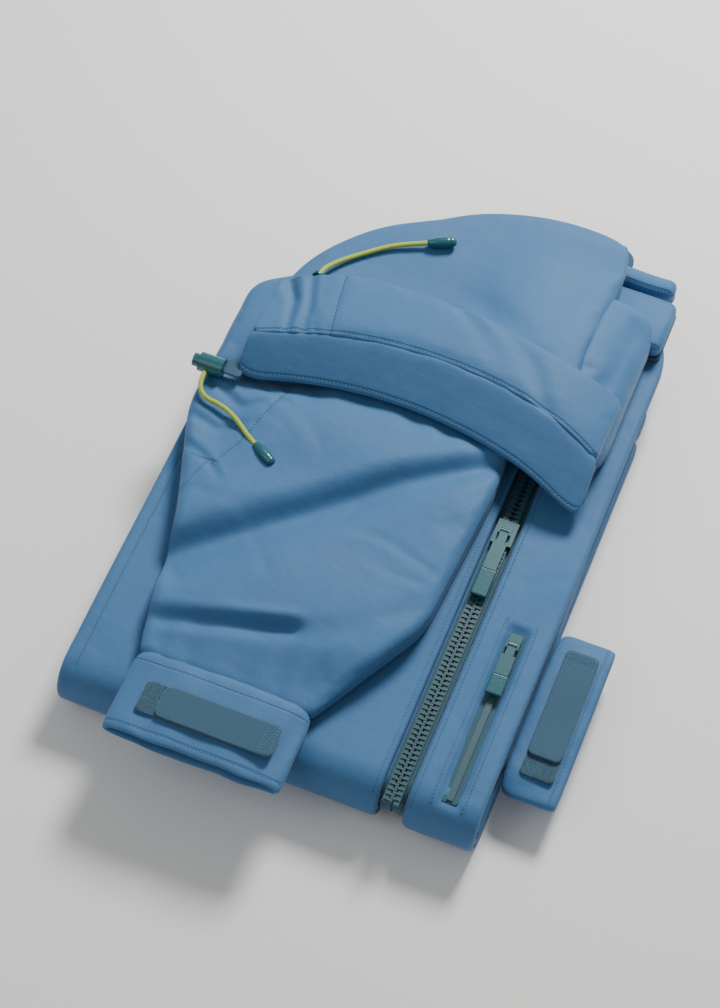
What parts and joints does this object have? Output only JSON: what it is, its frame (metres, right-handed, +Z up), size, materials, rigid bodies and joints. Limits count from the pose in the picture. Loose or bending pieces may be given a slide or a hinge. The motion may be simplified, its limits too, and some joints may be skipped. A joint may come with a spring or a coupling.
{
  "type": "hardshell jacket",
  "caption": "Hooded waterproof hardshell jacket, zipped and folded flat into a bundle for packing, with a fold-forward hood, stiffened brim, drawcords, zips and adjustable cuffs.",
  "frame": {"origin": "on the bundle's underside, on the line its width is centred on, where the chest crosses it", "axes": "+X to the bundle's right seen from the front fold (the wearer's left), +Y from the front fold to the neck, +Z up"},
  "size_m": [0.3235, 0.4636, 0.0943],
  "materials": {
    "shell_fabric": "matt tight-woven waterproof shell cloth, mid blue",
    "lining": "smooth dark blue knit backer",
    "zip_tape": "woven tape, dark blue",
    "zip_plastic": "moulded acetal, dark teal",
    "zip_metal": "enamelled die casting, dark teal",
    "teal_plastic": "satin-gloss moulded plastic, dark teal",
    "spring_steel": "bright spring wire",
    "webbing": "narrow woven webbing, dark blue",
    "loop_pile": "looped hook-and-loop pile, dark blue",
    "lime_cord": "braided elastic cord, lime",
    "stiffener": "plain flexible sheet"
  },
  "bodies": {
    "jacket": {"right_front_panel": "shell_fabric", "left_front_panel": "shell_fabric", "back_panel": "shell_fabric", "hem_band": "shell_fabric", "hem_eyelets": "teal_plastic", "storm_flap": "shell_fabric", "front_zip_tape_right": "zip_tape", "front_zip_tape_left": "zip_tape", "front_zip_teeth_right": "zip_plastic", "front_zip_teeth_left": "zip_plastic", "front_zip_top_stops": "zip_plastic", "front_zip_bottom_box": "zip_plastic", "pocket_zip_tape_right": "zip_tape", "pocket_zip_tape_left": "zip_tape", "pocket_zip_coil": "zip_plastic", "pocket_bag": "lining", "collar_lining": "lining", "collar": "shell_fabric", "back_yoke": "shell_fabric", "hanger_loop": "webbing", "right_sleeve_under": "shell_fabric", "right_sleeve_upper": "shell_fabric", "right_cuff": "shell_fabric", "right_cuff_loop_patch": "loop_pile", "left_sleeve": "shell_fabric", "left_cuff": "shell_fabric", "left_cuff_loop_patch": "loop_pile"},
    "hood": {"hood_back_panel": "shell_fabric", "hood_center_panel": "shell_fabric", "hood_side_right": "shell_fabric", "hood_side_left": "shell_fabric", "hood_brim": "shell_fabric", "hood_brim_stiffener": "stiffener", "hood_brim_lining": "lining", "hood_cord_lock": "teal_plastic", "hood_cord_lock_spring": "spring_steel", "hood_lock_tab": "webbing", "hood_cord_front": "lime_cord", "hood_cord_front_end": "teal_plastic", "hood_cord_rear": "lime_cord", "hood_cord_rear_end": "teal_plastic", "hood_cord_eyelet": "teal_plastic"},
    "front_slider": {"front_zip_slider": "zip_metal"},
    "front_puller": {"front_zip_puller": "zip_metal", "front_zip_puller_grip": "teal_plastic"},
    "pocket_slider": {"pocket_zip_slider": "zip_metal"},
    "pocket_puller": {"pocket_zip_puller": "zip_metal", "pocket_zip_puller_grip": "teal_plastic"},
    "right_tab": {"right_cuff_tab": "webbing"},
    "left_tab": {"left_cuff_tab": "webbing"},
    "lock_plunger": {"hood_cord_lock_plunger": "teal_plastic"}
  },
  "joints": [
    {"name": "hood_fold", "type": "hinge", "parent": "jacket", "child": "hood", "pos_m": [0, 0.266, 0.058], "axis": [-1, 0, 0], "range_deg": [0, 100]},
    {"name": "front_zip_travel", "type": "slide", "parent": "jacket", "child": "front_slider", "axis": [0, -1, 0], "range_m": [0, 0.18]},
    {"name": "front_puller_swing", "type": "hinge", "parent": "front_slider", "child": "front_puller", "pos_m": [0.085, 0.038, 0.0444], "axis": [-1, 0, 0], "range_deg": [0, 110]},
    {"name": "pocket_zip_travel", "type": "slide", "parent": "jacket", "child": "pocket_slider", "axis": [0, -1, 0], "range_m": [0, 0.1]},
    {"name": "pocket_puller_swing", "type": "hinge", "parent": "pocket_slider", "child": "pocket_puller", "pos_m": [0.118, -0.038, 0.0464], "axis": [-1, 0, 0], "range_deg": [0, 150]},
    {"name": "right_tab_peel", "type": "hinge", "parent": "jacket", "child": "right_tab", "pos_m": [0.011, -0.161, 0.0616], "axis": [0, 1, 0], "range_deg": [0, 120]},
    {"name": "left_tab_peel", "type": "hinge", "parent": "jacket", "child": "left_tab", "pos_m": [0.16, -0.02, 0.0302], "axis": [-1, 0, 0], "range_deg": [0, 120]},
    {"name": "lock_press", "type": "slide", "parent": "hood", "child": "lock_plunger", "axis": [1, 0, 0], "range_m": [0, 0.003], "stiffness_N_per_m": 400, "deforming": ["hood_cord_lock_spring"]}
  ]
}
